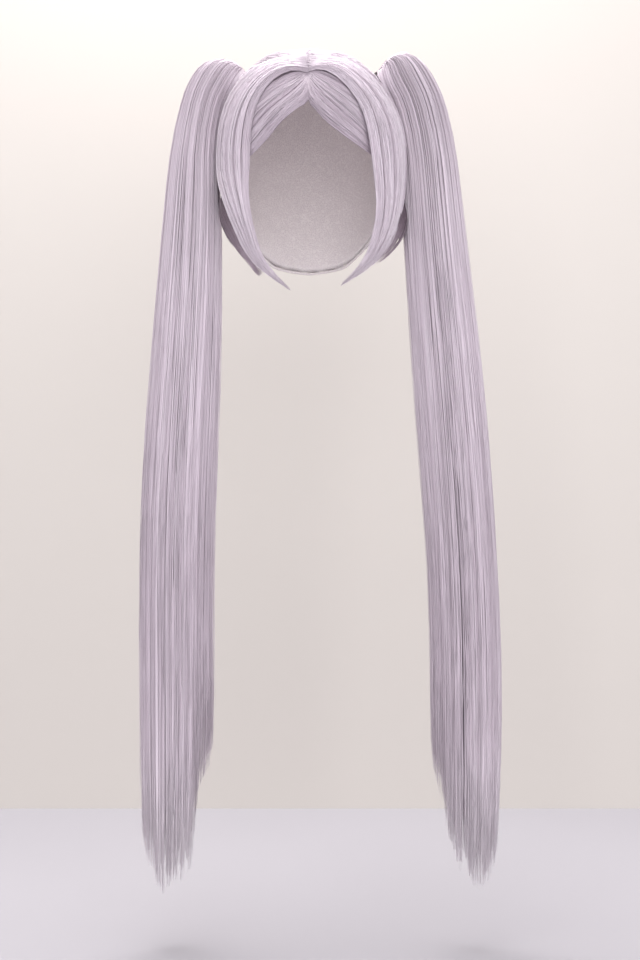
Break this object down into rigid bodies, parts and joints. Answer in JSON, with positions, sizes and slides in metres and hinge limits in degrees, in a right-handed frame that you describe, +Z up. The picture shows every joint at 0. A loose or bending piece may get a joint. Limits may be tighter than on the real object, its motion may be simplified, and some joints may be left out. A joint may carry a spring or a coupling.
{
  "type": "pigtail wig",
  "caption": "Pale lavender-grey wig with a centre parting, a V fringe, curved side locks and long high pigtails, worn on the head like a fitted cap.",
  "frame": {"origin": "inside the top of the cap, where the cap rests on the wearer's crown", "axes": "+Z up towards the crown, the face opening towards -Y; left is -X and right is +X as seen from the front"},
  "size_m": [0.351, 0.201, 0.8122],
  "materials": {
    "hair": "satin",
    "shaded_hair": "satin",
    "cap_net": "matte",
    "elastic": "matte"
  },
  "bodies": {
    "root": {"cap": "cap_net", "crown_hair_left": "hair", "crown_hair_right": "hair", "back_hair_left": "hair", "back_hair_right": "hair", "fringe_left": "hair", "fringe_right": "hair", "side_lock_left": "hair", "side_lock_right": "hair", "under_wisp_left": "shaded_hair", "under_wisp_right": "shaded_hair", "hair_tie_left": "elastic", "hair_tie_right": "elastic", "pigtail_left": "hair", "pigtail_right": "hair"}
  },
  "joints": []
}
